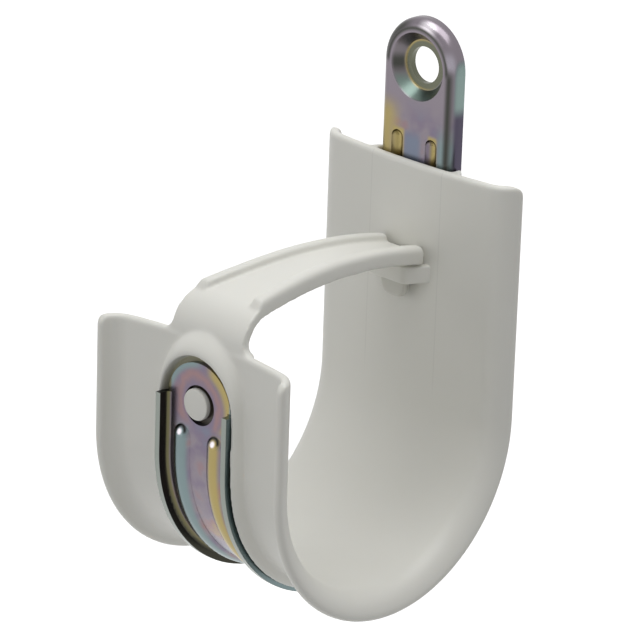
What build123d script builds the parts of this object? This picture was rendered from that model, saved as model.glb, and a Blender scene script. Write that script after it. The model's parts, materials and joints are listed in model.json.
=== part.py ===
from build123d import *
from math import asin, atan2, cos, degrees, radians, sin, sqrt, tan
import os

# Cable-support hook: a stamped steel J-strap that carries a moulded saddle with its closing arm.
# Millimetres. The pieces are drawn about the cradle's axis: X across the hook, Y towards the wall,
# Z up. The finished pieces are then moved so that the origin is the centre of the mounting hole,
# on the plane that bears on the wall.

# Saddle: the wide plastic bed for the cables
cradle_radius = 25.4      # cable side, along the middle of the bed
hook_width = 47.6
saddle_wall = 1.9
crown_radius = 150.0      # the bed bulges gently towards the cables across its width
rim_radius = 3.4          # cable side of the flared rims
rim_reach = 6.7           # rim edges, measured outward from the middle of the bed
back_height = 46.9        # top of the back plate above the cradle's axis
lip_height = 23.6         # top of the front lip above the cradle's axis
corner_radius = 3.0       # rim corners, seen from the side

# Guide ribs that hold the strap sideways, and the arched hood over its front end
rib_gap = 0.3
rib_height = 2.8
rib_width = 3.0
rib_stop = 0.7            # the ribs end below the top of the back plate
hood_gap = 1.7            # between the strap's round end and the hood
hood_height = 3.7
hood_width = 3.2

# Steel strap
steel = 1.2
strap_width = 18.8
strap_gap = 0.1           # between saddle and strap
flange_depth = 3.4
bend_radius = 1.0         # inside of the bent edges
hole_diameter = 7.2
hole_rise = 18.8          # hole centre above the top of the back plate
dish_floor = 10.0         # flat ring round the hole, seated on the wall
dish_mouth = 13.4
bead_spacing = 8.8
bead_width = 3.0
bead_depth = 1.0
bead_rise = 5.4           # the beads run on above the top of the back plate
bead_end_drop = 4.4       # and stop below the middle of the peg
tongue_width = 16.6
flange_end_rise = 0.6     # the front flanges stop this far above the middle of the peg

# Peg that holds the front end of the strap
peg_height = 11.1
peg_diameter = 7.2
peg_gap = 0.35
peg_proud = 0.8

# Retainer arm
arm_thickness = 2.1
arm_root_width = 17.2
arm_start_width = 14.6    # where the rails begin
arm_middle_width = 12.2
arm_tip_width = 11.8
knee_radius = 8.0
knee_drop = 0.4           # the knee starts below the top of the lip
root_depth = 4.0          # the arm's foot runs down inside the lip
arm_slope = 10.5          # degrees, where the knee runs into the bow
bow_radius = 105.0
arm_tip_gap = 0.9         # between the arm's tip and the back plate
tip_round = 1.2
rail_width = 2.8
rail_height = 1.1
rail_chamfer = 1.0
hinge_turn = 24.0         # degrees along the knee, where the arm flexes
hinge_slit = 0.25
root_fillet = 1.8

# Latch: a loop on the back plate and the arm's prong that drops into it
loop_base_width = 14.4
loop_front_width = 9.8
loop_depth = 4.5
loop_height = 3.5
loop_wall = 1.3
loop_gap = 0.5            # below the arm
prong_width = 6.8
prong_thickness = 1.8
prong_round = 0.8
prong_overhang = 2.6      # below the loop
prong_gap = 0.5           # in front, to the inside of the loop

overrun = 1.0             # cutting and joining shapes run this far past the face they meet

# Worked out from the sizes above
half_width = hook_width / 2
hole_height = back_height + hole_rise
strap_face = saddle_wall + strap_gap
strap_half = strap_width / 2
strap_radius = cradle_radius + strap_face
wall_plane = strap_radius + flange_depth
rib_inner = strap_half + rib_gap
hood_inner = tongue_width / 2 + hood_gap
dish_depth = flange_depth - steel
bead_top = back_height + bead_rise
bead_front = peg_height - bead_end_drop
lip_face = -(cradle_radius + saddle_wall)
knee_centre = (lip_face + knee_radius, lip_height - knee_drop)
arm_tip = cradle_radius - arm_tip_gap

back_plane = Plane((0, cradle_radius, 0), x_dir=(1, 0, 0), z_dir=(0, 0, 1))
lip_plane = Plane((0, -cradle_radius, 0), x_dir=(1, 0, 0), z_dir=(0, 0, -1))
side_plane = Plane((0, 0, 0), x_dir=(0, 1, 0), z_dir=(1, 0, 0))
bowl_axis = Axis((0, 0, 0), (-1, 0, 0))
to_mount = Location((0, -wall_plane, -hole_height))


def on_circle(centre, radius, angle):
    """Point at an angle in degrees, measured from the local x axis."""
    return (centre[0] + radius * cos(radians(angle)), centre[1] + radius * sin(radians(angle)))


def arc(centre, radius, start, end):
    """Circular arc about a centre, from one angle to another."""
    points = [on_circle(centre, radius, a) for a in (start, (start + end) / 2, end)]
    return ThreePointArc(*points)


def outline(edges):
    """Closed face from the edges of its right half, mirrored to the left."""
    right = Curve() + edges
    return make_face(right.edges() + mirror(right, Plane.YZ).edges())


def along_hook(section, back_length, lip_length):
    """A section carried up the back, round the cradle and up the lip."""
    back = extrude(back_plane * section, back_length)
    bowl = revolve(back_plane * section, bowl_axis, 180)
    lip = extrude(lip_plane * section, -lip_length)
    return back + bowl + lip


def saddle_section():
    """Crowned bed with rims that turn outward; local x across, local y outward."""
    crown = (0, crown_radius)
    crown_end = (half_width - rim_radius) / (1 - rim_radius / crown_radius)
    tilt = degrees(asin(crown_end / crown_radius))
    flare = (half_width - rim_radius, on_circle(crown, crown_radius - rim_radius, tilt - 90)[1])
    cap = (half_width - saddle_wall / 2, rim_reach - saddle_wall / 2)
    outer_radius = crown_radius - saddle_wall
    channel_turn = degrees(asin(rib_inner / outer_radius))
    return outline([
        arc(crown, crown_radius, -90, tilt - 90),
        arc(flare, rim_radius, tilt - 90, 0),
        Line((half_width, flare[1]), (half_width, cap[1])),
        arc(cap, saddle_wall / 2, 0, 180),
        Line((half_width - saddle_wall, cap[1]), (half_width - saddle_wall, flare[1])),
        arc(flare, rim_radius - saddle_wall, 0, tilt - 90),
        arc(crown, outer_radius, tilt - 90, channel_turn - 90),
        Line(on_circle(crown, outer_radius, channel_turn - 90), (rib_inner, saddle_wall)),
        Line((rib_inner, saddle_wall), (0, saddle_wall)),
    ])


def rib_face(inner, width, height):
    """Quarter-round rib on the outer side of the bed, steep towards the strap."""
    foot = saddle_wall / 2
    rise = saddle_wall + height - foot
    crest = (inner, foot + rise)
    belly = (inner + width * sqrt(0.5), foot + rise * sqrt(0.5))
    return make_face([
        Line((inner, foot), crest),
        ThreePointArc(crest, belly, (inner + width, foot)),
        Line((inner + width, foot), (inner, foot)),
    ])


def both_sides(shape):
    return shape + mirror(shape, Plane.YZ)


def guide_ribs():
    rib = rib_face(rib_inner, rib_width, rib_height)
    back = extrude(back_plane * rib, back_height - rib_stop)
    bowl = revolve(back_plane * rib, bowl_axis, 180)
    return both_sides(back + bowl)


def hood():
    """Arch round the strap's front end, with legs that run down into the guide ribs."""
    ring_section = rib_face(hood_inner, hood_width, hood_height)
    at_peg = Plane((0, -cradle_radius, peg_height), x_dir=(1, 0, 0), z_dir=(0, 0, -1))
    ring = revolve(at_peg * ring_section, Axis((0, 0, peg_height), (0, -1, 0)), 180)
    leg = loft([lip_plane * rib_face(rib_inner, rib_width, rib_height), at_peg * ring_section])
    return ring + both_sides(leg)


def rim_corner(y_sign, height):
    """Waste outside a rounded rim corner, seen from the side."""
    reach = y_sign * (cradle_radius + rim_reach)
    centre = (reach - y_sign * corner_radius, height - corner_radius)
    square = Pos(centre[0] + y_sign * corner_radius, centre[1] + corner_radius) * Rectangle(
        2 * corner_radius, 2 * corner_radius)
    waste = square - Pos(*centre) * Circle(corner_radius)
    return extrude(side_plane * waste, half_width + overrun, both=True)


def latch_loop():
    """Bracket on the back plate, open at top and bottom, narrower in front."""
    root = cradle_radius + saddle_wall / 2
    front = cradle_radius - loop_depth
    slope = (loop_base_width - loop_front_width) / 2 / loop_depth
    deep = slope * (root - cradle_radius)
    base, tip = loop_base_width / 2 + deep, loop_front_width / 2
    outer = make_face(Polyline((-base, root), (-tip, front), (tip, front), (base, root), close=True))
    outer = fillet(outer.vertices().sort_by(Axis.Y)[:2], loop_wall)
    hole = make_face(Polyline(
        (-base + loop_wall - deep, root + deep), (-tip + loop_wall, front + loop_wall),
        (tip - loop_wall, front + loop_wall), (base - loop_wall + deep, root + deep), close=True))
    ring = extrude(Pos(0, 0, loop_top - loop_height) * (outer - hole), loop_height)
    return ring


def knee_and_bow(radius_change):
    """Angles of the bow's start and end, on a path offset from the arm's outer face."""
    bow_centre = (
        knee_centre[0] + (bow_radius - knee_radius) * sin(radians(arm_slope)),
        knee_centre[1] - (bow_radius - knee_radius) * cos(radians(arm_slope)),
    )
    end = degrees(asin((arm_tip - bow_centre[0]) / (bow_radius + radius_change)))
    return bow_centre, 90 + arm_slope, 90 - end


def arm_width_trim(inset):
    """Tapered outline of the arm seen from above, as a block taller than the arm."""
    stations = [
        (arm_root_width / 2 - inset, lip_face - overrun),
        (arm_start_width / 2 - inset, rail_start),
        (arm_middle_width / 2 - inset, 0),
        (arm_tip_width / 2 - inset, arm_tip + overrun),
    ]
    edge = Spline(*stations)
    left = mirror(edge, Plane.YZ)
    first, last = stations[0], stations[-1]
    ends = [Line((-first[0], first[1]), first), Line((-last[0], last[1]), last)]
    return extrude(make_face([edge, left] + ends), knee_centre[1] + bow_radius)


def arm_band(from_turn):
    """Side view of the plain arm, from a point along the knee to the tip."""
    inner = -arm_thickness
    bow_centre, bow_start, bow_end = knee_and_bow(0)
    inner_end = knee_and_bow(inner)[2]
    start = 180 - from_turn
    outer_edges = [
        arc(knee_centre, knee_radius, start, bow_start),
        arc(bow_centre, bow_radius, bow_start, bow_end),
    ]
    inner_edges = [
        arc(bow_centre, bow_radius + inner, inner_end, bow_start),
        arc(knee_centre, knee_radius + inner, bow_start, start),
    ]
    ends = [
        Line(outer_edges[-1] @ 1, inner_edges[0] @ 0),
        Line(inner_edges[-1] @ 1, outer_edges[0] @ 0),
    ]
    return make_face(outer_edges + inner_edges + ends)


def arm_rails():
    """Two rails along the arm's upper edges, with sloped starts."""
    bow_centre, bow_start, bow_end = knee_and_bow(0)
    top_end = knee_and_bow(rail_height)[2]
    top_start = bow_start - degrees(rail_chamfer / bow_radius)
    foot_radius = bow_radius - arm_thickness / 2
    foot_end = knee_and_bow(-arm_thickness / 2)[2]
    foot = arc(bow_centre, foot_radius, bow_start, foot_end)
    top = arc(bow_centre, bow_radius + rail_height, top_start, top_end)
    shoulder = on_circle(bow_centre, bow_radius, bow_start)
    side = make_face([foot, top, Line(foot @ 1, top @ 1),
                      Line(foot @ 0, shoulder), Line(shoulder, top @ 0)])
    side = fillet(side.vertices().sort_by(Axis.X)[-2:].sort_by(Axis.Y)[-1:], tip_round)
    block = extrude(side_plane * side, arm_root_width, both=True)
    return block - arm_width_trim(rail_width)


def prong():
    """Tongue under the arm's tip that drops into the loop, rounded at its lower end."""
    front = cradle_radius - loop_depth + loop_wall + prong_gap
    side = Pos(front + prong_thickness / 2, (prong_top + prong_bottom) / 2) * Rectangle(
        prong_thickness, prong_top - prong_bottom)
    side = fillet(side.vertices().sort_by(Axis.Y)[:2], prong_round)
    return extrude(side_plane * side, prong_width / 2, both=True)


def retainer_arm():
    band = arm_band(hinge_turn + degrees(hinge_slit / knee_radius))
    body = extrude(side_plane * band, arm_root_width, both=True) + arm_rails()
    body = body & arm_width_trim(0)
    return body + prong()


def arm_root():
    """Foot of the arm that stays with the lip, below the flexing line, with a fillet each side."""
    bottom = lip_height - root_depth
    foot = [
        Line((lip_face, bottom), (lip_face, knee_centre[1])),
        arc(knee_centre, knee_radius, 180, 180 - hinge_turn),
        Line(on_circle(knee_centre, knee_radius, 180 - hinge_turn),
             on_circle(knee_centre, knee_radius - arm_thickness, 180 - hinge_turn)),
        arc(knee_centre, knee_radius - arm_thickness, 180 - hinge_turn, 180),
        Line((lip_face + arm_thickness, knee_centre[1]), (lip_face + arm_thickness, bottom)),
        Line((lip_face + arm_thickness, bottom), (lip_face, bottom)),
    ]
    stub = extrude(side_plane * make_face(foot), arm_root_width, both=True) & arm_width_trim(0)
    side, far = arm_root_width / 2, arm_root_width / 2 + root_fillet
    deep, low, high = side - overrun, lip_height - overrun, lip_height + root_fillet
    corner = make_face([
        Line((deep, low), (far, low)),
        Line((far, low), (far, lip_height)),
        arc((far, high), root_fillet, 270, 180),
        Line((side, high), (deep, high)),
        Line((deep, high), (deep, low)),
    ])
    front_view = Plane((0, lip_face, 0), x_dir=(1, 0, 0), z_dir=(0, -1, 0))
    gusset = extrude(front_view * corner, -saddle_wall)
    return stub + both_sides(gusset)


def peg():
    length = strap_face + steel + peg_proud - saddle_wall / 2
    foot = Plane((0, -cradle_radius - saddle_wall / 2, peg_height), x_dir=(1, 0, 0), z_dir=(0, -1, 0))
    stud = extrude(foot * Circle(peg_diameter / 2), length)
    return fillet(stud.edges().sort_by(Axis.Y)[0], peg_proud / 2)


def saddle():
    shell = along_hook(saddle_section(), back_height, lip_height)
    shell = shell - rim_corner(1, back_height) - rim_corner(-1, lip_height)
    shell = shell + guide_ribs() + hood() + arm_root() + peg() + latch_loop()
    return shell


def strap_section():
    """Channel with both edges bent outward; local x across, local y outward."""
    outer_bend = bend_radius + steel
    centre = (strap_half - outer_bend, strap_face + outer_bend)
    tip = strap_face + flange_depth
    return [
        Line((0, strap_face), (centre[0], strap_face)),
        arc(centre, outer_bend, 270, 360),
        Line((strap_half, centre[1]), (strap_half, tip)),
        Line((strap_half, tip), (strap_half - steel, tip)),
        Line((strap_half - steel, tip), (strap_half - steel, centre[1])),
        arc(centre, bend_radius, 360, 270),
        Line((centre[0], strap_face + steel), (0, strap_face + steel)),
    ]


def strap_head():
    """Round upper end: half of the channel turned about the mounting hole, with a pressed dish."""
    half = make_face(strap_section() + [Line((0, strap_face), (0, strap_face + steel))])
    at_hole = Plane((0, cradle_radius, hole_height), x_dir=(1, 0, 0), z_dir=(0, 0, 1))
    hole_axis = Axis((0, 0, hole_height), (0, -1, 0))
    head = revolve(at_hole * half, hole_axis, 180)
    floor, mouth, bore = dish_floor / 2, dish_mouth / 2, hole_diameter / 2
    back = strap_face + steel
    lean = steel * tan(atan2(dish_depth, mouth - floor) / 2)
    dish = make_face(Polyline(
        (mouth, strap_face), (floor, strap_face + dish_depth), (bore, strap_face + dish_depth),
        (bore, back + dish_depth), (floor + lean, back + dish_depth), (mouth + lean, back),
        close=True))
    return head, revolve(at_hole * dish, hole_axis, 360)


def bead(radius_change):
    """One pressed bead: a round bar bent along the strap, with ball ends, outside the strap's face."""
    half = bead_width / 2
    groove = (half ** 2 + bead_depth ** 2) / (2 * bead_depth)
    sunk = strap_face + bead_depth - groove
    radius = groove + radius_change
    disc = Pos(bead_spacing / 2, sunk) * Circle(radius)
    bar = along_hook(disc, bead_top - radius, bead_front - radius)
    ball_back = Pos(bead_spacing / 2, cradle_radius + sunk, bead_top - radius) * Sphere(radius)
    ball_front = Pos(bead_spacing / 2, -cradle_radius - sunk, bead_front - radius) * Sphere(radius)
    inside = along_hook(
        Pos(bead_spacing / 2, strap_face - radius) * Rectangle(3 * radius, 2 * radius),
        bead_top + radius, bead_front + radius)
    return both_sides(bar + ball_back + ball_front - inside)


def steel_strap():
    section = outline(strap_section())
    flange_end = peg_height + flange_end_rise
    strap = along_hook(section, hole_height, flange_end)
    head, dish = strap_head()
    strap = strap + head
    mouth = Plane((0, cradle_radius + strap_face, hole_height), x_dir=(1, 0, 0), z_dir=(0, 1, 0))
    strap = strap - extrude(mouth * Circle(dish_mouth / 2), steel) + dish
    tongue = Pos(0, (peg_height + flange_end) / 2) * Rectangle(tongue_width, flange_end - peg_height)
    tongue = tongue + Pos(0, peg_height) * Circle(tongue_width / 2)
    front = Plane((0, -strap_radius, 0), x_dir=(1, 0, 0), z_dir=(0, -1, 0))
    strap = strap + extrude(front * tongue, steel)
    strap = strap + bead(steel) - bead(0)
    return strap - extrude(front * Pos(0, peg_height) * Circle(peg_diameter / 2 + peg_gap), 2 * steel)


bow_middle, rails_from, _ = knee_and_bow(0)
rail_start = on_circle(bow_middle, bow_radius, rails_from)[0]
tip_turn = knee_and_bow(-arm_thickness)[2]
arm_underside = on_circle(bow_middle, bow_radius - arm_thickness, tip_turn)[1]
loop_top = arm_underside - loop_gap
prong_top = arm_underside + arm_thickness / 2
prong_bottom = loop_top - loop_height - prong_overhang

os.makedirs("parts", exist_ok=True)
pieces = {"steel_strap": steel_strap, "saddle": saddle, "retainer_arm": retainer_arm}
for name, make in pieces.items():
    export_step(to_mount * make(), f"parts/{name}.step")
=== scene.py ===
import json
import math
import bpy
from mathutils import Euler, Matrix, Vector

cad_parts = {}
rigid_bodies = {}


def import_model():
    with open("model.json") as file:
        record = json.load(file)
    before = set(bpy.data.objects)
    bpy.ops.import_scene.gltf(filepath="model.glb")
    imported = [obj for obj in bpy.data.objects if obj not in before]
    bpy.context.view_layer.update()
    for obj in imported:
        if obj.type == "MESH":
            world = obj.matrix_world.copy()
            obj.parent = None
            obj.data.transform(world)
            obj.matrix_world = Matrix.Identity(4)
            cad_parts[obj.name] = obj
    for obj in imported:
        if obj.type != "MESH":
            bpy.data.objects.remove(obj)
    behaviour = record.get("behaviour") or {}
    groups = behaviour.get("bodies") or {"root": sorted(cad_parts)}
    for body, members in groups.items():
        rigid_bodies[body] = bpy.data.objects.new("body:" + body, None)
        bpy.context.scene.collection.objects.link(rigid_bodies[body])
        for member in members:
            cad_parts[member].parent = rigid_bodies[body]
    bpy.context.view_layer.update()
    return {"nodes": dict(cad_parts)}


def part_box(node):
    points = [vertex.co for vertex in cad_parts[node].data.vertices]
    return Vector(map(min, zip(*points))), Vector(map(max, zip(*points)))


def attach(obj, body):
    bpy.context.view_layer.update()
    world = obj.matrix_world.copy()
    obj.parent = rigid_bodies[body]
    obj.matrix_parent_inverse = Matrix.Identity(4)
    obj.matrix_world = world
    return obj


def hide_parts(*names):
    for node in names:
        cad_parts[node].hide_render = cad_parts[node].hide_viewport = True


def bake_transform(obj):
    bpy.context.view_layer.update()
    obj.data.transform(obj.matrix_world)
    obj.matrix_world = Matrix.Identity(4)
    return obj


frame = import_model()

mm = 0.001
near = 0.1 * mm  # places closer than this count as the same

# places that every piece shares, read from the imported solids
saddleLow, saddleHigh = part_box("saddle")
_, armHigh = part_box("retainer_arm")
strapLow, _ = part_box("steel_strap")
rimRadius = (saddleHigh.y - saddleLow.y) / 2
axisY = (saddleHigh.y + saddleLow.y) / 2  # middle of the round cradle, seen from the side
axisZ = saddleLow.z + rimRadius
tipY = armHigh.y

saddleShape = {
    "rimSpread": 1.0 * mm,  # the rims stand this much wider than the plain solid
    "plateRise": 0.5 * mm,
    "crownRadius": 150 * mm,
    "flareRadius": 5.75 * mm,  # cable side of the rims, which turn outward
    "flareTurn": 75,
    "wall": 1.9 * mm,
    "lipHeight": 23.6 * mm,  # above the cradle's middle
    "cornerRadius": 3 * mm,
    "cornerSides": 96,
    "lipFall": 0.5 * mm,  # the lip's top slopes down towards the rims
    "edgeRound": 0.8 * mm,
    "acrossCuts": 96,
    "bowlSteps": 120,
}
halfWidth = saddleHigh.x + saddleShape["rimSpread"]
plateTop = saddleHigh.z + saddleShape["plateRise"]


def flareCentre():  # place across and outward, and how far the crown has turned there
    s = saddleShape
    middle = s["wall"] / 2
    across = halfWidth - middle - (s["flareRadius"] - middle) * math.sin(math.radians(s["flareTurn"]))
    tilt = math.asin(across / (s["crownRadius"] - s["flareRadius"]))
    return across, s["crownRadius"] - (s["crownRadius"] - s["flareRadius"]) * math.cos(tilt), tilt


rimReach = flareCentre()[1] + saddleShape["wall"] / 2 - (
    saddleShape["flareRadius"] - saddleShape["wall"] / 2) * math.cos(math.radians(saddleShape["flareTurn"]))
cradleRadius = rimRadius - rimReach
plateFace = axisY + cradleRadius
lipFace = axisY - cradleRadius - saddleShape["wall"]
lipTop = axisZ + saddleShape["lipHeight"]


# working habits: one piece active, everything else let go
def letGo():
    if bpy.context.object and bpy.context.object.mode != "OBJECT":
        bpy.ops.object.mode_set(mode="OBJECT")
    bpy.ops.object.select_all(action="DESELECT")


def takeUp(piece):
    letGo()
    bpy.context.view_layer.objects.active = piece
    piece.select_set(True)


def named(name):
    piece = bpy.context.object
    piece.name = name
    piece.data.name = name
    return piece


def pick(piece, test):  # selects vertices by their place, and leaves edit mode open
    bpy.ops.object.mode_set(mode="EDIT")
    bpy.ops.mesh.select_mode(type="VERT")
    bpy.ops.mesh.select_all(action="DESELECT")
    bpy.ops.object.mode_set(mode="OBJECT")
    for vertex in piece.data.vertices:
        vertex.select = bool(test(vertex.co))
    bpy.ops.object.mode_set(mode="EDIT")


def pickEdges(piece, test):  # selects edges by the places of their ends
    bpy.ops.object.mode_set(mode="EDIT")
    bpy.ops.mesh.select_mode(type="EDGE")
    bpy.ops.mesh.select_all(action="DESELECT")
    bpy.ops.object.mode_set(mode="OBJECT")
    for edge in piece.data.edges:
        edge.select = bool(test([piece.data.vertices[i].co for i in edge.vertices]))
    bpy.ops.object.mode_set(mode="EDIT")


def reshape(piece, move):  # moves every vertex by a rule
    bpy.ops.object.mode_set(mode="OBJECT")
    for vertex in piece.data.vertices:
        vertex.co = move(vertex.co.copy())
    piece.data.update()


def finishWith(piece, kind, **settings):  # adds a modifier and applies it
    takeUp(piece)
    modifier = piece.modifiers.new(kind.title(), kind)
    for key, value in settings.items():
        setattr(modifier, key, value)
    bpy.ops.object.modifier_apply(modifier=modifier.name)


def closeUp(piece):  # merges doubles and turns the faces outwards
    takeUp(piece)
    bpy.ops.object.mode_set(mode="EDIT")
    bpy.ops.mesh.select_all(action="SELECT")
    bpy.ops.mesh.remove_doubles(threshold=0.002 * mm)
    bpy.ops.mesh.normals_make_consistent(inside=False)
    bpy.ops.object.mode_set(mode="OBJECT")


def smoothShade(piece, angle=40):
    takeUp(piece)
    bpy.ops.object.shade_smooth_by_angle(angle=math.radians(angle))


def softenEdges(piece, width):
    finishWith(piece, "BEVEL", width=width, segments=3, limit_method="ANGLE", angle_limit=math.radians(50))


def slide(distance):
    bpy.ops.mesh.extrude_region_move(TRANSFORM_OT_translate={"value": distance})


def turn(steps, degrees, centre, axis):
    bpy.ops.mesh.spin(steps=steps, angle=math.radians(degrees), center=centre, axis=axis)


def block(name, low, high):  # a cube stretched between two corners
    letGo()
    bpy.ops.mesh.primitive_cube_add(size=2)
    piece = named(name)
    low, high = Vector(low), Vector(high)
    reshape(piece, lambda place: Vector(
        low[i] + (high[i] - low[i]) * (place[i] + 1) / 2 for i in range(3)))
    return piece


def easeIn(value, start, end):
    share = min(1, max(0, (value - start) / (end - start)))
    return share * share * (3 - 2 * share)


# the bed: a crowned strip that runs down the back plate, round the bowl and up the lip
def bedSection(share):  # place across the bed, from 0 in the middle to 1 at the rim edge
    s = saddleShape
    crown, flare, flareEnd = s["crownRadius"], s["flareRadius"], math.radians(s["flareTurn"])
    across, outward, tilt = flareCentre()
    lastCell = 1 - 2 / s["acrossCuts"]
    along = min(1, share / lastCell) * (crown * tilt + flare * (flareEnd - tilt))
    if along <= crown * tilt:
        angle = along / crown
        return crown * math.sin(angle), crown * (1 - math.cos(angle))
    angle = tilt + (along - crown * tilt) / flare
    straight = s["wall"] / 2 if share > lastCell + 0.1 / s["acrossCuts"] else 0
    return (across + flare * math.sin(angle) + straight * math.cos(angle),
            outward - flare * math.cos(angle) + straight * math.sin(angle))


def cutAway(piece, tool):
    finishWith(piece, "BOOLEAN", object=tool, operation="DIFFERENCE", solver="EXACT")
    takeUp(tool)
    bpy.ops.object.delete()


def roundRimCorners(bed):  # seen from the side, the rims end in a quarter circle
    s = saddleShape
    spare = 1 * mm
    for top, side in ((plateTop, 1), (lipTop, -1)):
        edgeY = axisY + side * rimRadius
        middleY, middleZ = edgeY - side * s["cornerRadius"], top - s["cornerRadius"]
        span = sorted((middleY, edgeY + side * spare))
        waste = block("waste", (-halfWidth - spare, span[0], middleZ), (halfWidth + spare, span[1], top + spare))
        letGo()
        bpy.ops.mesh.primitive_cylinder_add(
            vertices=s["cornerSides"], radius=s["cornerRadius"], depth=2 * halfWidth + 4 * spare,
            location=(0, middleY, middleZ), rotation=(0, math.pi / 2, 0))
        cutAway(waste, named("rounding"))
        cutAway(bed, waste)


def makeBed():
    s = saddleShape
    letGo()
    bpy.ops.mesh.primitive_grid_add(x_subdivisions=s["acrossCuts"], y_subdivisions=1, size=2)
    bed = named("bed")

    def acrossPlate(place):
        x, out = bedSection(abs(place.x))
        z = plateTop if place.y > 0 else plateTop - s["cornerRadius"]
        return Vector((math.copysign(x, place.x), plateFace + out, z))

    reshape(bed, acrossPlate)
    pick(bed, lambda place: place.z < plateTop - s["cornerRadius"] / 2)
    slide((0, 0, axisZ - plateTop + s["cornerRadius"]))
    turn(s["bowlSteps"], 180, (0, axisY, axisZ), (1, 0, 0))
    slide((0, 0, s["lipHeight"] - s["cornerRadius"]))
    slide((0, 0, s["cornerRadius"]))
    closeUp(bed)
    outward = bed.data.polygons[0].normal.y > 0
    finishWith(bed, "SOLIDIFY", thickness=s["wall"], offset=1 if outward else -1, use_quality_normals=True)
    closeUp(bed)
    softenEdges(bed, s["edgeRound"])

    def slopeLip(place):
        if place.y < axisY:
            aside = max(0, abs(place.x) - guideShape["innerHalf"]) / (halfWidth - guideShape["innerHalf"])
            place.z -= s["lipFall"] * aside * easeIn(place.z, axisZ, lipTop)
        return place

    reshape(bed, slopeLip)
    roundRimCorners(bed)
    return bed


# the guide: one raised edge that runs up the back, round the bowl and over the strap's front end
guideShape = {
    "innerHalf": 9.8 * mm,
    "ribHeight": 2.8 * mm,
    "ribWidth": 3.2 * mm,
    "hoodInner": 9.4 * mm,
    "hoodHeight": 2.6 * mm,
    "hoodSideWidth": 2.9 * mm,
    "hoodTopWidth": 6.2 * mm,
    "hoodTopGap": 0.4 * mm,  # the pocket is wider at the top
    "pegHeight": 11.1 * mm,  # middle of the arch, above the cradle's middle
    "root": 1.2 * mm,  # sunk into the bed
    "sectionPoints": 28,
    "sectionLean": 1.15,  # the section is fuller beside the strap
    "topDrop": 0.1 * mm,
    "bowlSteps": 90,
    "archSteps": 60,
}
pegZ = axisZ + guideShape["pegHeight"]


def makeGuide():
    g = guideShape
    letGo()
    bpy.ops.mesh.primitive_circle_add(vertices=g["sectionPoints"], radius=1, fill_type="NGON")
    guide = named("guide")
    outer = plateFace + saddleShape["wall"]
    start = plateTop - g["topDrop"]

    def section(place):
        share = (1 - place.x) / 2  # 0 beside the strap, 1 at the outer foot
        height = 0.5 * (1 + math.cos(math.pi * share ** g["sectionLean"])) if place.y >= 0 else 0
        x = g["innerHalf"] + share * g["ribWidth"]
        y = outer - g["root"] + (g["root"] + g["ribHeight"]) * height
        return Vector((x, y, start))

    reshape(guide, section)
    pick(guide, lambda place: True)
    slide((0, 0, axisZ - start))
    turn(g["bowlSteps"], 180, (0, axisY, axisZ), (1, 0, 0))
    slide((0, 0, g["pegHeight"]))
    turn(g["archSteps"], 180, (0, axisY, pegZ), (0, 1, 0))
    slide((0, 0, -g["pegHeight"]))
    turn(g["bowlSteps"], -180, (0, axisY, axisZ), (1, 0, 0))
    slide((0, 0, start - axisZ))

    def swellIntoHood(place):
        if place.y > axisY or place.z < axisZ - g["root"]:
            return place
        swell = easeIn(place.z, axisZ - g["root"], pegZ)
        place.y -= max(0, lipFace - place.y) * swell * (g["hoodHeight"] / g["ribHeight"] - 1)
        spoke = Vector((place.x, 0, max(0, place.z - pegZ)))
        share = (spoke.length - g["innerHalf"]) / g["ribWidth"]
        upward = (spoke.z / spoke.length) ** 2
        inner = g["innerHalf"] + swell * (g["hoodInner"] - g["innerHalf"]) + upward * g["hoodTopGap"]
        width = g["ribWidth"] + swell * (g["hoodSideWidth"] - g["ribWidth"])
        width += upward * (g["hoodTopWidth"] - g["hoodSideWidth"])
        return place + spoke.normalized() * (inner + share * width - spoke.length)

    reshape(guide, swellIntoHood)
    closeUp(guide)
    return guide


# the retainer arm: a knee out of the lip, a long low bow, two rails and the prong at its tip
armShape = {
    "widths": ((-28.3, 19.4), (-20.8, 17.0), (0, 13.7), (25.5, 12.5)),  # place along, width, in mm
    "leanAside": 0.4 * mm,  # the free part of the arm sits a little off centre
    "thickness": 2.1 * mm,
    "kneeRadius": 8 * mm,
    "kneeDrop": 0.4 * mm,
    "slope": 10.9,
    "bowRadius": 110 * mm,
    "foot": 4 * mm,
    "rootFillet": 1.7 * mm,
    "railWidth": 2.8 * mm,
    "railHeight": 1.4 * mm,
    "railBack": 11,  # degrees along the knee, where the rails rise
    "railSink": 1.3 * mm,
    "railRound": 1.3 * mm,
    "railRoundSteps": 6,
    "prongHalf": 3.4 * mm,
    "prongFront": 2.6 * mm,  # in front of the back plate, clear enough of it that the remesh can't join the two
    "prongThickness": 1.6 * mm,
    "prongRound": 2.6 * mm,
    "prongRoundSteps": 8,
    "prongBottom": 20.4 * mm,  # above the cradle's middle
    "prongTop": 29 * mm,
    "edgeRound": 0.4 * mm,
    "kneeSteps": 20,
    "bowSteps": 60,
}
kneeY = lipFace + armShape["kneeRadius"]
kneeZ = lipTop - armShape["kneeDrop"]
slope = math.radians(armShape["slope"])
bowY = kneeY + (armShape["bowRadius"] - armShape["kneeRadius"]) * math.sin(slope)
bowZ = kneeZ - (armShape["bowRadius"] - armShape["kneeRadius"]) * math.cos(slope)
tipTurn = math.degrees(slope + math.asin((tipY - bowY) / armShape["bowRadius"]))


def armHalfWidth(y):  # smooth curve through the widths
    place = (y - axisY) / mm
    total = 0
    for at, width in armShape["widths"]:
        weight = 1
        for other, _ in armShape["widths"]:
            if other != at:
                weight *= (place - other) / (at - other)
        total += weight * width
    return total / 2 * mm


def asideAt(y):  # how far the arm leans aside
    return armShape["leanAside"] * easeIn(y, kneeY - armShape["kneeRadius"] / 2, kneeY + armShape["kneeRadius"])


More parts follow.
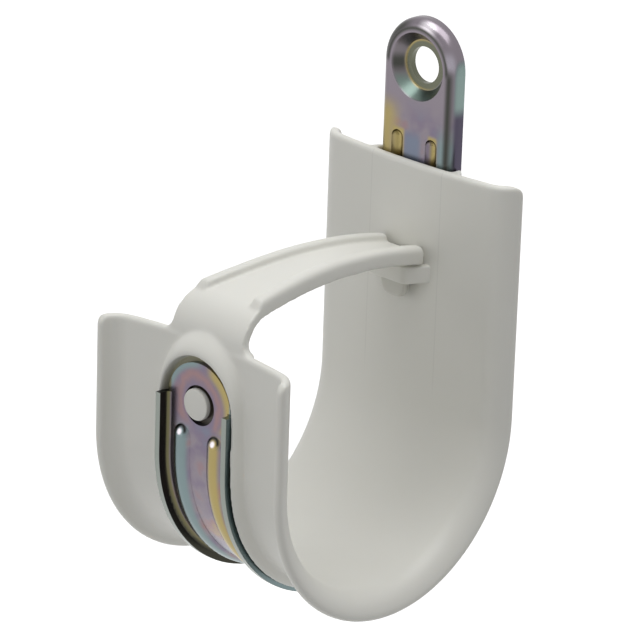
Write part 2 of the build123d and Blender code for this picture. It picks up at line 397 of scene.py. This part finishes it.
def makeArmStrip():
    a = armShape
    strip = block("armStrip", (-1, lipFace, lipTop - a["foot"]), (1, lipFace + a["thickness"], kneeZ))
    pick(strip, lambda place: place.z > kneeZ - near)
    turn(a["kneeSteps"], 90 - a["slope"], (0, kneeY, kneeZ), (1, 0, 0))
    turn(a["bowSteps"], tipTurn, (0, bowY, bowZ), (1, 0, 0))

    def taper(place):
        if place.y > tipY - 1 * mm:
            place.y = tipY
        rise = min(1, max(0, (place.z - lipTop) / a["rootFillet"]))
        flare = a["rootFillet"] * (1 - math.sqrt(1 - (1 - rise) ** 2))
        place.x *= armHalfWidth(place.y) + (flare if place.y < kneeY else 0)
        place.x += asideAt(place.y)
        return place

    reshape(strip, taper)
    closeUp(strip)
    softenEdges(strip, a["edgeRound"])
    return strip


def makeRail(side):
    a = armShape
    letGo()
    bpy.ops.mesh.primitive_plane_add(size=2)
    rail = named("rail")
    start = slope + math.radians(a["railBack"])
    reshape(rail, lambda place: Vector((
        (place.x + 1) / 2 * a["railWidth"], a["railHeight"] if place.y > 0 else -a["railSink"], 0)))
    for corner, rounding in ((0, a["railRound"]), (a["railWidth"], a["railRound"] / 2)):  # outer and inner top edges
        pick(rail, lambda place: abs(place.x - corner) < near and place.y > a["railHeight"] - near)
        bpy.ops.mesh.bevel(offset=rounding, segments=a["railRoundSteps"], affect="VERTICES")

    def stand(place):  # the section stands across the rail, on the knee
        radius = a["kneeRadius"] + place.y
        return Vector((place.x, kneeY - radius * math.sin(start), kneeZ + radius * math.cos(start)))

    reshape(rail, stand)
    pick(rail, lambda place: True)
    turn(a["railBack"], a["railBack"], (0, kneeY, kneeZ), (1, 0, 0))
    turn(a["bowSteps"], tipTurn, (0, bowY, bowZ), (1, 0, 0))

    def alongEdge(place):
        place.y = min(place.y, tipY)
        place.x = side * (armHalfWidth(place.y) - place.x) + asideAt(place.y)
        return place

    def rampUp(place):
        lean = math.atan2(kneeY - place.y, place.z - kneeZ)
        radius = math.hypot(kneeY - place.y, place.z - kneeZ)
        if lean > slope and radius > a["kneeRadius"]:
            radius = a["kneeRadius"] + (radius - a["kneeRadius"]) * (start - lean) / (start - slope)
            place.y, place.z = kneeY - radius * math.sin(lean), kneeZ + radius * math.cos(lean)
        return place

    reshape(rail, alongEdge)
    reshape(rail, rampUp)
    closeUp(rail)
    return rail


def makeProng():
    a = armShape
    front = plateFace - a["prongFront"]
    bottom, top = axisZ + a["prongBottom"], axisZ + a["prongTop"]
    prong = block("prong", (-a["prongHalf"], front, bottom), (a["prongHalf"], front + a["prongThickness"], top))
    pickEdges(prong, lambda ends: all(end.z < bottom + 1 * mm for end in ends)
              and abs(ends[0].x - ends[1].x) < near)
    bpy.ops.mesh.bevel(offset=a["prongRound"], segments=a["prongRoundSteps"], affect="EDGES")
    closeUp(prong)
    softenEdges(prong, a["edgeRound"])
    return prong


# one moulding: the pieces above are fused and softened, then parted across the knee where the arm flexes
mouldShape = {
    "voxel": 0.27 * mm,
    "softenTimes": 14,
    "keep": 0.24,
    "partTurn": 15,  # degrees along the knee
    "bendEnd": 62,
    "cutReach": 2 * mm,  # how far from the cut faces are looked at
    "cutThreshold": 0.0001 * mm,
}


def fuse(pieces):
    letGo()
    for piece in pieces:
        piece.select_set(True)
    bpy.context.view_layer.objects.active = pieces[0]
    bpy.ops.object.join()
    moulding = named("moulding")
    finishWith(moulding, "REMESH", mode="VOXEL", voxel_size=mouldShape["voxel"], use_smooth_shade=True)
    finishWith(moulding, "SMOOTH", factor=0.5, iterations=mouldShape["softenTimes"])
    finishWith(moulding, "DECIMATE", ratio=mouldShape["keep"])
    return moulding


def kneePoint(degrees):  # middle of the arm's thickness, along the knee
    angle = math.pi - math.radians(degrees)
    radius = armShape["kneeRadius"] - armShape["thickness"] / 2
    return Vector((0, kneeY + radius * math.cos(angle), kneeZ + radius * math.sin(angle)))


def partAtKnee(moulding):
    m = mouldShape
    spot = kneePoint(m["partTurn"])
    angle = math.radians(m["partTurn"])
    along = Vector((0, math.sin(angle), math.cos(angle)))
    pick(moulding, lambda place: abs((place - spot).dot(along)) < m["cutReach"] and place.y < kneeY)
    bpy.ops.mesh.bisect(plane_co=spot, plane_no=along, threshold=m["cutThreshold"])
    bpy.ops.object.mode_set(mode="OBJECT")
    normals = moulding.data.attributes.new("mouldNormal", "FLOAT_VECTOR", "POINT")
    for vertex in moulding.data.vertices:
        normals.data[vertex.index].vector = vertex.normal
    bpy.ops.object.mode_set(mode="EDIT")
    bpy.ops.mesh.edge_split(type="EDGE")
    pick(moulding, lambda place: abs(place.y - axisY) < m["cutReach"] and place.z > lipTop)  # the middle of the arm
    bpy.ops.mesh.select_linked()
    bpy.ops.mesh.separate(type="SELECTED")
    bpy.ops.object.mode_set(mode="OBJECT")
    arm = [o for o in bpy.context.selected_objects if o != moulding][0]
    for piece in (moulding, arm):
        takeUp(piece)
        bpy.ops.object.mode_set(mode="EDIT")
        bpy.ops.mesh.select_all(action="DESELECT")
        bpy.ops.mesh.select_non_manifold()
        bpy.ops.mesh.edge_face_add()
        bpy.ops.object.mode_set(mode="OBJECT")
        stored = piece.data.attributes["mouldNormal"]
        smooth = [tuple(stored.data[v.index].vector) for v in piece.data.vertices]
        piece.data.attributes.remove(stored)
        piece.data.normals_split_custom_set_from_vertices(smooth)
    return moulding, arm


bed = makeBed()
print("bed", len(bed.data.polygons))
guide = makeGuide()
strip = makeArmStrip()
rails = [makeRail(side) for side in (-1, 1)]
prong = makeProng()
print("arm parts made")
moulding = fuse([bed, guide, strip, prong] + rails)
print("moulding fused", len(moulding.data.polygons))
saddleSkin, armSkin = partAtKnee(moulding)
saddleSkin.name = "saddleSkin"
armSkin.name = "armSkin"
print("parted", len(saddleSkin.data.polygons), len(armSkin.data.polygons))
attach(saddleSkin, "hook")
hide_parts("saddle")
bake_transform(armSkin)
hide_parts("retainer_arm")


# the latch loop on the back plate, open above and below
loopShape = {
    "baseWidth": 14.4 * mm,
    "frontWidth": 9.8 * mm,
    "depth": 4.5 * mm,
    "height": 3.5 * mm,
    "wall": 1.3 * mm,
    "bottom": 24.4 * mm,  # above the cradle's middle
    "cornerRound": 1.3 * mm,
    "cornerSteps": 6,
    "edgeRound": 0.35 * mm,
}


def makeLatchLoop():
    s = loopShape
    bottom = axisZ + s["bottom"]
    back = plateFace + s["wall"]
    front = plateFace - s["depth"]
    loop = block("latchLoop", (-0.5, front, bottom), (0.5, back, bottom + s["height"]))
    slopeOut = (s["baseWidth"] - s["frontWidth"]) / s["depth"]

    def narrow(place):
        place.x *= s["frontWidth"] + slopeOut * (place.y - front)
        return place

    reshape(loop, narrow)
    pickEdges(loop, lambda ends: all(abs(end.y - front) < near for end in ends)
              and abs(ends[0].x - ends[1].x) < near)
    bpy.ops.mesh.bevel(offset=s["cornerRound"], segments=s["cornerSteps"], affect="EDGES")
    bpy.ops.mesh.select_mode(type="FACE")
    bpy.ops.mesh.select_all(action="DESELECT")
    bpy.ops.object.mode_set(mode="OBJECT")
    for face in loop.data.polygons:
        face.select = abs(face.normal.z) > 0.9
    bpy.ops.object.mode_set(mode="EDIT")
    bpy.ops.mesh.inset(thickness=s["wall"])
    bpy.ops.mesh.bridge_edge_loops()
    closeUp(loop)
    softenEdges(loop, s["edgeRound"])
    smoothShade(loop)
    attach(loop, "hook")
    return loop


# the peg that holds the strap's front end
pegShape = {
    "radius": 3.1 * mm,
    "proud": 0.45 * mm,  # in front of the strap
    "strapFace": 1.3 * mm,  # the strap's front, outward from the lip
    "root": 0.5 * mm,
    "aside": -0.7 * mm,  # it bears on one side of the strap's hole
    "edgeRound": 0.25 * mm,
    "sides": 72,
}


def makePeg():
    s = pegShape
    bottom, top = lipFace + s["root"], lipFace - s["strapFace"] - s["proud"]
    letGo()
    bpy.ops.mesh.primitive_cylinder_add(vertices=s["sides"], radius=s["radius"], depth=1)
    peg = named("strapPeg")
    reshape(peg, lambda place: Vector((place.x + s["aside"], top if place.z > 0 else bottom, pegZ + place.y)))
    closeUp(peg)
    softenEdges(peg, s["edgeRound"])
    smoothShade(peg)
    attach(peg, "hook")
    return peg


latchLoop = makeLatchLoop()
strapPeg = makePeg()
print("loop and peg made")


# camera where the photograph was taken from
cameraPlace = {
    "azimuth": 43.881,
    "elevation": 20.545,
    "roll": 1.898,
    "distance": 848.074 * mm,
    "lens": 258.96,
    "sensor": 36,
    "clip": (0.01, 20),
    "target": Vector((0.652, -30.8, -42.73)) * mm,
}


def placeCamera():
    c = cameraPlace
    azimuth, elevation = math.radians(c["azimuth"]), math.radians(c["elevation"])
    flat = math.cos(elevation)
    back = Vector((math.sin(azimuth) * flat, -math.cos(azimuth) * flat, math.sin(elevation)))
    aim = Euler((math.pi / 2 - elevation, 0, azimuth)).to_matrix()
    letGo()
    bpy.ops.object.camera_add(location=c["target"] + back * c["distance"])
    camera = bpy.context.object
    camera.rotation_euler = (aim @ Matrix.Rotation(math.radians(c["roll"]), 3, "Z")).to_euler()
    camera.data.lens = c["lens"]
    camera.data.sensor_width = c["sensor"]
    camera.data.clip_start, camera.data.clip_end = c["clip"]
    bpy.context.scene.camera = camera


placeCamera()
print("camera placed")


# finishes
def addNode(tree, kind, **settings):
    node = tree.nodes.new(kind)
    for key, value in settings.items():
        setattr(node, key, value)
    return node


def freshFinish(name):
    finish = bpy.data.materials.new(name)
    finish.use_nodes = True
    return finish, finish.node_tree, finish.node_tree.nodes["Principled BSDF"]


def fade(tree, value, low, high):  # 0 at low, 1 at high
    node = addNode(tree, "ShaderNodeMapRange", interpolation_type="SMOOTHSTEP")
    node.inputs["From Min"].default_value = low
    node.inputs["From Max"].default_value = high
    tree.links.new(value, node.inputs["Value"])
    return node.outputs["Result"]


def sums(tree, operation, *values):  # sockets and plain numbers, worked through one operation
    result = values[0]
    for value in values[1:]:
        node = addNode(tree, "ShaderNodeMath", operation=operation)
        for socket, entry in zip(node.inputs, (result, value)):
            if isinstance(entry, (int, float)):
                socket.default_value = entry
            else:
                tree.links.new(entry, socket)
        result = node.outputs[0]
    return result


def band(tree, value, low, high, soft):  # 1 between low and high
    rise = fade(tree, value, low - soft, low + soft)
    return sums(tree, "MULTIPLY", rise, fade(tree, value, high + soft, high - soft))


def distance(tree, across, up):
    squares = [sums(tree, "MULTIPLY", value, value) for value in (across, up)]
    return sums(tree, "SQRT", sums(tree, "ADD", *squares), 0)


def paint(tree, under, mask, colour):
    node = addNode(tree, "ShaderNodeMix", data_type="RGBA")
    tree.links.new(mask, node.inputs[0])
    tree.links.new(under, node.inputs[6])
    node.inputs[7].default_value = (*colour, 1)
    return node.outputs[2]


def paintMarks(tree, colour, measures, look):  # each mark is painted where all its spans meet
    for tone, *spans in look["marks"]:
        masks = []
        for measure, *limits in spans:
            shape = fade if len(limits) == 2 else band
            masks.append(shape(tree, measures[measure], *[limit * mm for limit in limits]))
        colour = paint(tree, colour, sums(tree, "MULTIPLY", *masks), look[tone])
    return colour


def setSurface(shader, look):
    for socket, value in look["surface"].items():
        shader.inputs[socket].default_value = value


def objectPlaces(tree):
    places = addNode(tree, "ShaderNodeTexCoord")
    parts = addNode(tree, "ShaderNodeSeparateXYZ")
    tree.links.new(places.outputs["Object"], parts.inputs[0])
    return places.outputs["Object"], parts.outputs


def cloudy(tree, places, scale, detail):
    noise = addNode(tree, "ShaderNodeTexNoise")
    noise.inputs["Scale"].default_value = scale
    noise.inputs["Detail"].default_value = detail
    tree.links.new(places, noise.inputs["Vector"])
    return noise.outputs["Fac"]


# a mark is a tone and its spans, in mm: a measure with the start and end of a fade, or with low, high and softness
plasticLook = {
    "colour": (0.80, 0.795, 0.745),
    "shade": (0.765, 0.76, 0.71),
    "seam": (0.725, 0.72, 0.675),  # painted shade of faint creases up the back plate, over the strap's edges
    # painted shade with a painted olive bounce from the strap, in the pocket round the strap's front end
    "pocket": (0.40, 0.375, 0.25),
    "gap": (0.09, 0.075, 0.055),  # painted shadow deep in the ring between the peg and the strap's hole
    "prongEnd": (0.63, 0.625, 0.57),  # painted shade deep under the loop
    "marks": (
        ("seam", ("away", 9.0, 9.2, 0.12), ("fromPlate", -0.5, -0.2), ("fromPlate", 1.2, 0.8), ("aboveAxis", 0, 8)),
        ("pocket", ("fromPeg", 7.8, 9.4, 0.25), ("fromLip", 0.3, 0.1), ("fromLip", -2.2, -1.2)),
        ("gap", ("fromPeg", 4.7, 4.5), ("fromLip", -0.8, 0.6, 0.15)),
        ("prongEnd", ("away", 4.4, 4), ("aboveAxis", 25.6, 24.0), ("aboveAxis", 18, 20),
         ("fromPlate", -2.7, -0.4, 0.15)),
    ),
    "surface": {
        "Roughness": 0.42,
        "IOR": 1.49,
        "Subsurface Weight": 0.08,
        "Subsurface Radius": (1.0, 0.9, 0.7),
        "Subsurface Scale": 1.0 * mm,
    },
    "tintScale": 60,
    "grainScale": 2600,
    "grainStrength": 0.12,
    "grain": 0.03 * mm,
    "detail": 2,
}


def makePlastic():
    p = plasticLook
    finish, tree, shader = freshFinish("offWhitePlastic")
    places, (x, y, z) = objectPlaces(tree)
    tint = addNode(tree, "ShaderNodeMix", data_type="RGBA")
    tint.inputs[6].default_value = (*p["colour"], 1)
    tint.inputs[7].default_value = (*p["shade"], 1)
    tree.links.new(cloudy(tree, places, p["tintScale"], p["detail"]), tint.inputs[0])
    measures = {
        "away": sums(tree, "ABSOLUTE", x, 0),
        "fromPlate": sums(tree, "SUBTRACT", y, plateFace),
        "fromLip": sums(tree, "SUBTRACT", y, lipFace),
        "aboveAxis": sums(tree, "SUBTRACT", z, axisZ),
        "fromPeg": distance(tree, x, sums(tree, "SUBTRACT", z, pegZ)),
    }
    colour = paintMarks(tree, tint.outputs[2], measures, p)
    tree.links.new(colour, shader.inputs["Base Color"])
    bump = addNode(tree, "ShaderNodeBump")
    bump.inputs["Strength"].default_value = p["grainStrength"]
    bump.inputs["Distance"].default_value = p["grain"]
    tree.links.new(cloudy(tree, places, p["grainScale"], p["detail"]), bump.inputs["Height"])
    tree.links.new(bump.outputs["Normal"], shader.inputs["Normal"])
    setSurface(shader, p)
    return finish


# spans that several marks on the strap share
atBack, atFront, onFront, lowFront = ("y", -18, -12), ("y", -46, -52), ("y", -20, -34), ("y", -30, -44)
leftBead, rightBead = ("x", -5.7, -2.7, 0.5), ("x", 3.6, 5.8, 0.5)
dish, roll, upper = ("fromHole", 5.0, 6.6, 0.3), ("fromHole", 7.9, 9.1, 0.35), ("z", -1, 0.5)
tongue, belowPeg, sideEdge = ("pegUp", -5, -3), ("pegUp", -4.5, -6), ("x", 8.8, 9.35)

zincLook = {
    "mauve": (0.205, 0.18, 0.205),
    "violet": (0.165, 0.138, 0.185),
    "blue": (0.145, 0.165, 0.215),
    "teal": (0.165, 0.215, 0.22),
    "mint": (0.20, 0.265, 0.25),
    "rose": (0.235, 0.155, 0.16),
    "gold": (0.31, 0.25, 0.105),
    # painted dark reflection inside the left flange
    "olive": (0.115, 0.105, 0.055),
    # painted black: dark reflection on the left flange's edge, shade round the bead ends
    "dark": (0.022, 0.023, 0.021),
    "dusk": (0.075, 0.066, 0.095),
    # painted highlights on the rolled edge and at the bead ends
    "bright": (0.66, 0.62, 0.66),
    # painted softer highlight on the rolled edge
    "pale": (0.33, 0.305, 0.35),
    # painted light on the dish's lower wall, in the film's mint tone
    "dishMint": (0.14, 0.19, 0.17),
    "dishWall": (0.15, 0.135, 0.145),
    "moss": (0.125, 0.13, 0.095),
    "shadow": (0.055, 0.056, 0.05),
    "cutEdge": (0.22, 0.24, 0.22),
    "film": (("blue", 0.30), ("violet", 0.42), ("mauve", 0.52), ("rose", 0.62), ("gold", 0.74)),
    "marks": (
        # the head, and the strap below it
        ("mauve", atBack, ("z", -13, -5)),
        ("gold", atBack, ("x", -2.5, -7.5), ("z", -6, -11)),
        ("teal", atBack, ("x", 4.8, 7), ("z", -9, -15)),
        ("blue", atBack, ("x", -2.6, 1.5, 1), ("z", -12, -15)),
        ("gold", atBack, leftBead, ("z", -12.5, -13.5)),
        ("gold", atBack, rightBead, ("z", -12.5, -13.5)),
        # the dish round the hole, with painted light low down and painted shade on its left wall
        ("dishWall", atBack, dish),
        ("dishMint", atBack, dish, ("z", -1.8, -4.2)),
        ("shadow", atBack, dish, ("x", -3.5, -5.5), ("z", -1.8, 1, 1.1)),
        ("moss", atBack, ("fromHole", 5.0, 4.8)),
        ("gold", atBack, ("fromHole", 4.7, 5.05, 0.25), ("x", 4, -2)),
        # the rolled edge, with painted shade, painted highlights and a painted dark reflection along the bend
        ("shadow", atBack, roll, upper, ("x", -1, -5)),
        ("shadow", atBack, ("fromHole", 7.2, 7.9, 0.35), upper),
        # painted highlights: the main gleam, then a softer one further round
        ("bright", atBack, roll, upper, ("x", 0.4, 3.4, 1.3)),
        ("pale", atBack, roll, upper, ("z", 1, 4, 1.2), ("x", 5.5, 7.5)),
        # painted dark reflection along the right bend
        ("shadow", atBack, ("x", 7.5, 8.7, 0.6), ("z", 2, -1)),
        ("dusk", atBack, sideEdge),
        ("mint", atBack, sideEdge, ("z", -8.8, -5.8)),
        # the tongue round the peg
        ("violet", atFront, tongue),
        ("rose", atFront, tongue, ("wander", 7.6, 9.2, 0.9)),
        ("gold", atFront, tongue, ("fromPeg", 5.8, 7.6), ("x", 1, 4)),
        ("teal", atFront, tongue, ("fromPeg", 6.6, 8), ("x", 1.5, -2), ("pegUp", 0, 3)),
        # the front beads and flanges, with a painted dark reflection in the left flange and painted shade and
        # highlights at the bead ends
        ("teal", lowFront, belowPeg, leftBead),
        ("gold", lowFront, belowPeg, rightBead),
        # painted dark reflection inside the left flange
        ("olive", onFront, ("x", -7.2, -7.9)),
        ("dark", onFront, ("x", -7.9, -8.3)),
        ("teal", onFront, ("x", 7.6, 8.2)),
        ("cutEdge", onFront, ("pastStrap", -0.1, 0)),
        # painted shade ring and painted highlight at each bead's front end
        ("dark", atFront, ("fromEnd", 0.9, 1.4, 0.25), ("endUp", -0.4, 0.3)),
        ("bright", atFront, ("fromEnd", 0.8, 0.3)),
    ),
    "surface": {"Metallic": 1, "Roughness": 0.27},
    "clouds": 130,
    "detail": 3,
    "wander": 6 * mm,  # the film's edges wander this far
    "beadPlace": 4.4 * mm,
    "beadEnd": -6.3 * mm,  # middle of the painted shade and highlight at each bead's end, below the peg's middle
}


def makeFilm(tree, clouds):  # the cloudy colours under all the marks
    ramp = addNode(tree, "ShaderNodeValToRGB")
    elements = ramp.color_ramp.elements
    while len(elements) < len(zincLook["film"]):
        elements.new(0.5)
    for element, (tone, place) in zip(elements, zincLook["film"]):
        element.position = place
        element.color = (*zincLook[tone], 1)
    tree.links.new(clouds, ramp.inputs[0])
    return ramp.outputs[0]


def makeZinc():
    k = zincLook
    finish, tree, shader = freshFinish("passivatedZinc")
    places, (x, y, z) = objectPlaces(tree)
    clouds = cloudy(tree, places, k["clouds"], k["detail"])
    pegUp = sums(tree, "SUBTRACT", z, pegZ)
    fromPeg = distance(tree, x, pegUp)
    endUp = sums(tree, "SUBTRACT", pegUp, k["beadEnd"])
    fromBead = sums(tree, "SUBTRACT", sums(tree, "ABSOLUTE", x, 0), k["beadPlace"])
    belowAxis = sums(tree, "MINIMUM", sums(tree, "SUBTRACT", z, axisZ), 0)
    fromAxis = distance(tree, belowAxis, sums(tree, "SUBTRACT", y, axisY))
    measures = {
        "x": x,
        "y": y,
        "z": z,
        "pegUp": pegUp,
        "fromPeg": fromPeg,
        "wander": sums(tree, "ADD", fromPeg, sums(tree, "MULTIPLY", clouds, k["wander"])),
        "fromHole": distance(tree, x, z),
        "pastStrap": sums(tree, "SUBTRACT", fromAxis, axisY - strapLow.y),
        "endUp": endUp,
        "fromEnd": distance(tree, endUp, fromBead),
    }
    colour = paintMarks(tree, makeFilm(tree, clouds), measures, k)
    tree.links.new(colour, shader.inputs["Base Color"])
    setSurface(shader, k)
    return finish


offWhitePlastic = makePlastic()
passivatedZinc = makeZinc()
for piece in (saddleSkin, armSkin, latchLoop, strapPeg):
    piece.data.materials.clear()
    piece.data.materials.append(offWhitePlastic)
strap = frame["nodes"]["steel_strap"]
strap.data.materials.clear()
strap.data.materials.append(passivatedZinc)
print("finishes made")


# studio: a pale floor far below the hanging hook, a big soft lamp overhead and even light all round
studioLook = {
    "floorSize": 14,
    "floorDepth": -0.45,
    "floorColour": (0.8, 0.8, 0.8),
    "floorRoughness": 0.9,
    "floorGlow": 0.8,
    "ambient": 0.30,
    "softbox": {"place": (0.04, -0.02, 0.88), "size": 0.9, "power": 6.5},
    "fill": {"place": (-0.5, -0.9, 0.12), "size": 0.8, "power": 1.3},
}


def seenDirectly(tree):  # 1 for rays from the camera and for reflections
    path = addNode(tree, "ShaderNodeLightPath")
    rays = [path.outputs[name] for name in ("Is Camera Ray", "Is Glossy Ray", "Is Transmission Ray")]
    return sums(tree, "MAXIMUM", *rays)


def makeFloor():
    s = studioLook
    letGo()
    bpy.ops.mesh.primitive_plane_add(size=s["floorSize"], location=(0, 0, s["floorDepth"]))
    floor = named("floor")
    finish, tree, shader = freshFinish("paleFloor")
    shader.inputs["Base Color"].default_value = (*s["floorColour"], 1)
    shader.inputs["Roughness"].default_value = s["floorRoughness"]
    shader.inputs["Emission Color"].default_value = (1, 1, 1, 1)
    tree.links.new(sums(tree, "MULTIPLY", seenDirectly(tree), s["floorGlow"]), shader.inputs["Emission Strength"])
    floor.data.materials.append(finish)


def lightStudio():
    s = studioLook
    world = bpy.data.worlds.new("studio")
    bpy.context.scene.world = world
    world.use_nodes = True
    tree = world.node_tree
    around = tree.nodes["Background"]
    around.inputs["Color"].default_value = (1, 1, 1, 1)
    around.inputs["Strength"].default_value = s["ambient"]
    white = addNode(tree, "ShaderNodeBackground")
    white.inputs["Color"].default_value = (1, 1, 1, 1)
    white.inputs["Strength"].default_value = 1
    either = addNode(tree, "ShaderNodeMixShader")
    tree.links.new(seenDirectly(tree), either.inputs[0])
    tree.links.new(around.outputs[0], either.inputs[1])
    tree.links.new(white.outputs[0], either.inputs[2])
    tree.links.new(either.outputs[0], tree.nodes["World Output"].inputs["Surface"])
    for name in ("softbox", "fill"):
        letGo()
        bpy.ops.object.light_add(type="AREA", location=s[name]["place"])
        lamp = bpy.context.object
        lamp.name = name
        lamp.data.size = s[name]["size"]
        lamp.data.energy = s[name]["power"]
        toObject = Vector((0, axisY, axisZ)) - Vector(s[name]["place"])
        lamp.rotation_euler = toObject.to_track_quat("-Z", "Y").to_euler()


makeFloor()
lightStudio()
bpy.context.scene.view_settings.view_transform = "Standard"
print("studio lit")
